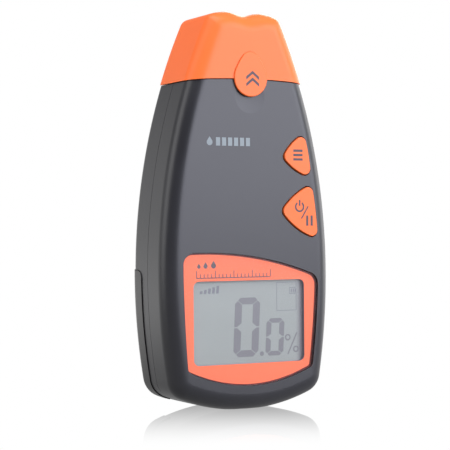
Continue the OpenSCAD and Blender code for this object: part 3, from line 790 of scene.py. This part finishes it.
# ---------------------------------------------------------------- display
LENS_Y, LENS_BACK = low("display_lens").y, high("display_lens").y - 0.03
FILM_Y = low("lens_print").y
GLASS_Y = low("lcd_glass").y
lens_rings = [(LENS_GAP + 0.2, LENS_Y), (LENS_GAP + 0.06, LENS_Y + 0.06), (LENS_GAP, LENS_Y + 0.2),
              (LENS_GAP, LENS_BACK)]
lens = loft("lens", [soft_outline(LENS, d) for d, _ in lens_rings], [y for _, y in lens_rings])
finish_piece(lens, "housing", CLEAR, "clear_lens", "display_lens", smooth=12)


def rounded_box(cx, cz, w, h, r):
    """A rectangle with round corners, by its middle, its sides and its corner radius."""
    points = []
    for sx, sz, a in ((1, -1, -90), (1, 1, 0), (-1, 1, 90), (-1, -1, 180)):
        middle = (cx + sx * (w / 2 - r), cz + sz * (h / 2 - r))
        points += arc(middle, r, math.radians(a), math.radians(a + 90), 8)
    return points


def window_hole():
    return slab("window", rounded_box(*WINDOW, WINDOW_ROUND), FRONT, 0)


film = slab("film", soft_outline(LENS, LENS_GAP), FILM_Y, high("lens_print").y)
carve(film, "DIFFERENCE", window_hole())
finish_piece(film, "housing", LENS_INK, "lens_ink", "lens_print")
# painted shadow: a dark ring on the print next to the recess wall, wider at the top and right
recess_shadow = slab("lens_recess_shadow", soft_outline(LENS, SHADOW_RING[0]), FILM_Y - PRINT, FILM_Y + PRINT)
inside = [(x + SHADOW_RING_SHIFT[0], z + SHADOW_RING_SHIFT[1]) for x, z in soft_outline(LENS, SHADOW_RING[1])]
carve(recess_shadow, "DIFFERENCE", slab("inner", inside, FRONT, 0))
finish_piece(recess_shadow, "housing", PAINTED_RECESS_SHADOW, "lens_ink")
# painted shade: a ring between the print and the display glass round the window, coloured as the shadow
# at the window's edge
outer = (*WINDOW[:2], WINDOW[2] + 2 * FRAME_W, WINDOW[3] + 2 * FRAME_W, 2.6)
shade = slab("window_shade_frame", rounded_box(*outer), PANEL_Y + PRINT, GLASS_Y - 2 * PRINT)
carve(shade, "DIFFERENCE", window_hole())
finish_piece(shade, "housing", SHADE, "lcd")


# ---------------------------------------------------------------- printed marks and display segments
def bar(p, q, w):
    """A straight stroke from p to q."""
    along = (Vector(q) - Vector(p)).normalized() * w / 2
    side = Vector((-along.y, along.x))
    p, q = Vector(p), Vector(q)
    return [tuple(p - side), tuple(q - side), tuple(q + side), tuple(p + side)]


def rect(x0, x1, z0, z1):
    return [(x0, z0), (x1, z0), (x1, z1), (x0, z1)]


def frame_bars(x0, x1, z0, z1, w):
    """The four sides of a thin rectangle, face to face."""
    return [rect(x0, x1, z0, z0 + w), rect(x0, x1, z1 - w, z1),
            rect(x0, x0 + w, z0 + w, z1 - w), rect(x1 - w, x1, z0 + w, z1 - w)]


def hoop(c, r, w, a0, a1):
    """A curved stroke of width w from angle a0 to a1, in degrees."""
    a0, a1 = math.radians(a0), math.radians(a1)
    return arc(c, r + w / 2, a0, a1, 28) + arc(c, r - w / 2, a1, a0, 28)


def drop(c, r, tall):
    """A falling drop: a round belly that narrows to a point."""
    tip = math.acos(r / (tall - r))
    return arc(c, r, math.pi / 2 + tip, math.pi * 5 / 2 - tip, 28) + [(c[0], c[1] + tall - r)]


def zero(x, z, w, h, tx, tz):
    """The six lit segments of a seven-segment nought, w wide and h high, with bars tx and tz thick."""
    g, slant = 0.13, 0.05
    c, m = 0.7 * tx, h / 2
    top = [(tx + g, h - tz), (w - tx - g, h - tz), (w - c / 2 - g, h - c / 2), (w - c - g, h),
           (c + g, h), (c / 2 + g, h - c / 2)]
    left = [(0, h - c - g), (0, m + 1.6 * g), (0.4 * tx, m + 1.6 * g), (tx, m + 0.5 * tx + g),
            (tx, h - tz - g), (c / 2, h - c / 2 - g)]
    shapes = []
    for flip_x in (False, True):
        for points in ([left] if flip_x else [top, left]):
            for flip_z in (False, True):
                spots = [(w - px if flip_x else px, h - pz if flip_z else pz) for px, pz in points]
                shapes.append([(x + px + slant * pz, z + pz) for px, pz in spots])
    return shapes


def marks(name, shapes, y0, y1, body, material, slot):
    """Thin raised shapes, in one piece."""
    solids = [slab(name if i == 0 else "mark", shape, y0, y1) for i, shape in enumerate(shapes)]
    return finish_piece(joined(*solids), body, material, slot)


LAYER = (GLASS_Y - 0.03, GLASS_Y - 0.005)
segments = zero(-5.7, 17.1, 9.3, 19.4, 2.6, 2.2) + zero(6.3, 17.1, 6.8, 12.3, 1.9, 1.5)
segments.append(arc((5.0, 17.9), 0.75, 0, 2 * math.pi, 24)[:-1])
segments.append(bar((14.9, 17.3), (18.4, 24.4), 0.45))
segments += [hoop(c, 0.85, 0.5, 0, 359.9) for c in ((14.9, 22.9), (18.0, 18.9))]
marks("lcd_digits", segments, *LAYER, "housing", SEGMENT, "lcd")
BAR_Z, BAR_W, BAR_STEP, BAR_LEAN = 38.1, 0.95, 1.5, 0.2
ghosts = frame_bars(10.7, 18.3, 31.8, 41.3, 0.17) + frame_bars(15.6, 17.9, 37.3, 39.5, 0.2)
ghosts += [rect(16.2, 16.6, 37.8, 39.0), rect(17.0, 17.4, 37.8, 39.0), rect(17.9, 18.1, 38.0, 38.8)]
for i in range(5):
    x, top = BAR_STEP * i - 17.8, BAR_Z + 0.9 + 0.4 * i
    ghosts.append([(x, BAR_Z), (x + BAR_W, BAR_Z), (x + BAR_W + BAR_LEAN, top), (x + BAR_LEAN, top)])
marks("lcd_symbols", ghosts, *LAYER, "housing", FAINT, "lcd")

RULE_X, RULE_Z, TICK_STEP, TICK_W = -19.6, (43.1, 43.4), 1.36, 0.32
DROPS = ((-18.6, 0.6, 1.7), (-16.2, 0.75, 2.1), (-13.3, 0.9, 2.5))
legend = [drop((x, 46.3 + r), r, tall) for x, r, tall in DROPS]
legend.append(rect(RULE_X, RULE_X + 20 * TICK_STEP, *RULE_Z))
for i in range(21):
    x = RULE_X + TICK_STEP * i
    legend.append(rect(x, x + TICK_W, RULE_Z[1], 45.6 if i % 5 == 0 else 44.5))
marks("lens_legend", legend, FILM_Y - PRINT, FILM_Y + PRINT, "housing", INK, "lens_ink")

BLOCK_X, BLOCK_W, BLOCK_STEP = -12.6, 1.5, 2.2
scale = [drop((-14.9, 87.1), 1.05, 2.9)]
scale += [rect(x, x + BLOCK_W, 86.0, 88.7) for x in (BLOCK_X + BLOCK_STEP * i for i in range(6))]
marks("case_scale", scale, FRONT - PRINT, FRONT + 0.05, "housing", PALE_INK, "charcoal_plastic")


def chevron(x, z, w, t):
    """An upward arrowhead without a shaft."""
    foot = z - w * 0.8
    return [(x - w, foot), (x, z), (x + w, foot), (x + w, foot - t), (x, z - t), (x - w, foot - t)]


TAB_Y, KEY_Y = low("thumb_tab").y, low("mode_button").y
arrows = [chevron(0.6, z, 2.4, 1.1) for z in (110.6, 108.4)]
marks("tab_arrow", arrows, TAB_Y, TAB_Y + 0.05, "cap", INK, "orange_plastic")
lines = [rect(15.8, 19.4, z, z + 0.8) for z in (81.5, 82.95, 84.4)]
marks("mode_icon", lines, KEY_Y, KEY_Y + 0.05, "mode_key", INK, "orange_plastic")
sign = [hoop((18.1, 66.2), 1.5, 0.62, 125, 415), bar((18.1, 66.5), (18.1, 68.5), 0.62)]
sign.append(bar((18.8, 62.3), (21.4, 66.4), 0.5))
sign += [bar((x, 59.9), (x, 63.3), 0.85) for x in (21.0, 22.7)]
marks("power_icon", sign, KEY_Y, KEY_Y + 0.05, "power_key", INK, "orange_plastic")


# ---------------------------------------------------------------- battery
def spans(node):
    """The box round a CAD node, as a range along each axis."""
    return tuple(zip(low(node), high(node)))


def rod_x(name, x0, x1, p, r):
    """A rod along X round a point p in the Y-Z plane."""
    sides = 48
    ring = arc(p, r, 0, 2 * math.pi, sides)[:-1]
    faces = [(i, (i + 1) % sides, sides + (i + 1) % sides, sides + i) for i in range(sides)]
    faces += [tuple(range(sides)), tuple(range(sides, 2 * sides))]
    return new_piece(name, [(x, y, z) for x in (x0, x1) for y, z in ring], faces)


STUD_Y = 3.3
SOCKETS = ((19.65, 3.0), (32.35, 4.0))
cell = soften(block("battery_block", *spans("battery")), 1.1, segments=5)
finish_piece(cell, "housing", JACKET, "battery_jacket", "battery")
studs = spans("battery_terminals")
snap = soften(block("snap_plate", *spans("battery_snap")), 0.7, segments=4)
sockets = [rod_x("socket", studs[0][0], studs[0][1] + 0.1, (STUD_Y, z), r) for z, r in SOCKETS]
carve(snap, "DIFFERENCE", joined(*sockets))
finish_piece(snap, "housing", BLACK, "black_plastic", "battery_snap")

# ---------------------------------------------------------------- carried-over pieces
FINISH = {
    "lcd_glass": LCD, "lcd_reflector": WIRE, "lcd_frame": WHITE, "zebra_strips": ZEBRA,
    "circuit_board": BOARD, "microcontroller": CHIP, "small_chips": CHIP, "resistors": CHIP,
    "filter_capacitors": SLEEVE, "crystal_can": PLATED, "trimmer": TRIMMER, "switch_bases": BLACK,
    "mode_plunger": BLACK, "power_plunger": BLACK, "case_screws": STEEL, "board_screws": STEEL,
    "electrode_block": BLACK, "left_pin": STEEL, "right_pin": STEEL, "pin_collars": PLATED,
    "solder_tags": BRASS, "pin_nuts": PLATED, "left_electrode_lead": WIRE,
    "right_electrode_lead": WIRE, "battery_terminals": PLATED, "red_battery_lead": RED,
    "black_battery_lead": BLACK_WIRE,
}
for node, material in FINISH.items():
    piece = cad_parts[node]
    piece.data.materials.clear()
    piece.data.materials.append(material)

# ---------------------------------------------------------------- floor, lights and camera
LOOK = math.radians(-28)
ROLL = math.radians(-0.44)
CAMERA_DISTANCE = 0.5085
CAMERA_HEIGHT = 0.0599
MIDDLE_Z = 0.06
TOWARDS_CAMERA = Vector((math.sin(LOOK), -math.cos(LOOK), 0))


def lean(nodes, links, vector, direction):
    """How far a vector runs along a direction."""
    product = nodes.new("ShaderNodeVectorMath")
    product.operation = "DOT_PRODUCT"
    product.inputs[1].default_value = direction
    links.new(vector, product.inputs[0])
    return product.outputs["Value"]


def times(nodes, links, a, b):
    product = nodes.new("ShaderNodeMath")
    product.operation = "MULTIPLY"
    links.new(a, product.inputs[0])
    links.new(b, product.inputs[1])
    return product.outputs[0]


def by_ray(nodes, links, other, camera_look):
    """One look for the camera and the floor's mirror, another for light that reaches the object."""
    ray = nodes.new("ShaderNodeLightPath")
    either = nodes.new("ShaderNodeMath")
    either.operation = "MAXIMUM"
    links.new(ray.outputs["Is Camera Ray"], either.inputs[0])
    links.new(ray.outputs["Is Singular Ray"], either.inputs[1])
    seen = nodes.new("ShaderNodeMixShader")
    links.new(either.outputs[0], seen.inputs[0])
    links.new(other, seen.inputs[1])
    links.new(camera_look, seen.inputs[2])
    return seen.outputs[0]


def make_floor():
    """White, with a faint mirror image just in front of the foot."""
    mesh = bpy.data.meshes.new("floor")
    half = 6.0
    corners = [(-half, -half, 0), (half, -half, 0), (half, half, 0), (-half, half, 0)]
    mesh.from_pydata(corners, [], [(0, 1, 2, 3)])
    floor = bpy.data.objects.new("floor", mesh)
    scene.collection.objects.link(floor)
    material, nodes, links = node_material("floor")
    nodes.remove(principled(nodes))
    out = next(n for n in nodes if n.type == "OUTPUT_MATERIAL")
    place = nodes.new("ShaderNodeTexCoord")
    # the spans are metres from the middle of the foot
    along = lean(nodes, links, place.outputs["Object"], TOWARDS_CAMERA)
    near = ramp(nodes, links, along, (-0.03, 0.095), (0.75, 0.0))
    far = ramp(nodes, links, along, (-0.045, -0.02), (0.0, 1.0))
    across = nodes.new("ShaderNodeMath")
    across.operation = "ABSOLUTE"
    links.new(lean(nodes, links, place.outputs["Object"], TOWARDS_CAMERA.cross(Vector((0, 0, 1)))),
              across.inputs[0])
    beside = ramp(nodes, links, across.outputs[0], (0.036, 0.052), (1.0, 0.0))
    white = nodes.new("ShaderNodeEmission")
    white.inputs["Strength"].default_value = 1.0
    mirror = nodes.new("ShaderNodeBsdfGlossy")
    mirror.inputs["Roughness"].default_value = 0.0
    mirror.inputs["Color"].default_value = (1, 1, 1, 1)
    sheen = nodes.new("ShaderNodeMixShader")
    in_front = times(nodes, links, near, far)
    links.new(times(nodes, links, in_front, beside), sheen.inputs[0])
    links.new(white.outputs[0], sheen.inputs[1])
    links.new(mirror.outputs[0], sheen.inputs[2])
    lit = nodes.new("ShaderNodeEmission")
    links.new(ramp(nodes, links, along, (-0.2, 0.05), (1.5, 0.4)), lit.inputs["Strength"])
    links.new(by_ray(nodes, links, lit.outputs[0], sheen.outputs[0]), out.inputs["Surface"])
    mesh.materials.append(material)


def make_world():
    """A white room whose front left corner is dark."""
    world = bpy.data.worlds.new("studio")
    scene.world = world
    world.use_nodes = True
    nodes, links = world.node_tree.nodes, world.node_tree.links
    nodes.clear()
    out = nodes.new("ShaderNodeOutputWorld")
    place = nodes.new("ShaderNodeTexCoord")
    away = lean(nodes, links, place.outputs["Generated"], (0.82, 0.57, 0.0))
    up = lean(nodes, links, place.outputs["Generated"], (0.0, 0.0, 1.0))
    room = nodes.new("ShaderNodeBackground")
    level = times(nodes, links, ramp(nodes, links, away, (-0.85, 0.2), (0.03, 1.0)),
                  ramp(nodes, links, up, (0.05, 0.5), (1.0, 0.2)))
    links.new(level, room.inputs["Strength"])
    room.inputs["Color"].default_value = (1, 1, 1, 1)
    white = nodes.new("ShaderNodeBackground")
    white.inputs["Color"].default_value = (1, 1, 1, 1)
    links.new(by_ray(nodes, links, room.outputs[0], white.outputs[0]), out.inputs["Surface"])


def softbox(name, azimuth, height, distance, width, tall, radiance, color=(1, 1, 1)):
    """A rectangular light, placed by compass angle, that the floor's mirror doesn't show."""
    a = math.radians(azimuth)
    spot = Vector((math.sin(a) * distance, -math.cos(a) * distance, height))
    data = bpy.data.lights.new(name, "AREA")
    data.shape = "RECTANGLE"
    data.size, data.size_y = width, tall
    data.energy = radiance * width * tall * math.pi
    data.color = color
    data.use_nodes = True
    nodes, links = data.node_tree.nodes, data.node_tree.links
    glow = next(n for n in nodes if n.type == "EMISSION")
    unseen = nodes.new("ShaderNodeMath")
    unseen.operation = "SUBTRACT"
    unseen.inputs[0].default_value = 1.0
    links.new(nodes.new("ShaderNodeLightPath").outputs["Is Singular Ray"], unseen.inputs[1])
    links.new(unseen.outputs[0], glow.inputs["Strength"])
    light = bpy.data.objects.new(name, data)
    light.location = spot
    light.rotation_mode = "QUATERNION"
    light.rotation_quaternion = (Vector((0, 0, MIDDLE_Z)) - spot).to_track_quat("-Z", "Y")
    scene.collection.objects.link(light)


make_floor()
make_world()
# azimuth in degrees; height, distance, width and height of the light in metres; radiance
softbox("key", 27, 0.42, 1.0, 1.3, 0.9, 4.6, (0.94, 0.96, 1.1))
softbox("left_strip", -99, 0.3, 0.9, 0.5, 0.8, 2.4)
softbox("right_strip", 95, 0.3, 0.9, 0.5, 0.7, 2.0)
softbox("back_right", 138, 0.5, 1.0, 0.5, 0.5, 5.0)
softbox("overhead", -60, 1.0, 0.35, 1.0, 0.8, 4.0)

camera_data = bpy.data.cameras.new("camera")
camera = bpy.data.objects.new("camera", camera_data)
scene.collection.objects.link(camera)
camera_data.lens = 121.8
camera_data.shift_x = -0.016
camera_data.shift_y = 0.0029
camera_data.clip_start, camera_data.clip_end = 0.01, 30
spot = TOWARDS_CAMERA * CAMERA_DISTANCE + Vector((0, 0, CAMERA_HEIGHT))
turn = (-TOWARDS_CAMERA).to_track_quat("-Z", "Y").to_matrix().to_4x4()
camera.matrix_world = Matrix.Translation(spot) @ turn @ Matrix.Rotation(ROLL, 4, "Z")
scene.camera = camera
scene.view_settings.view_transform = "Standard"

bpy.context.view_layer.update()
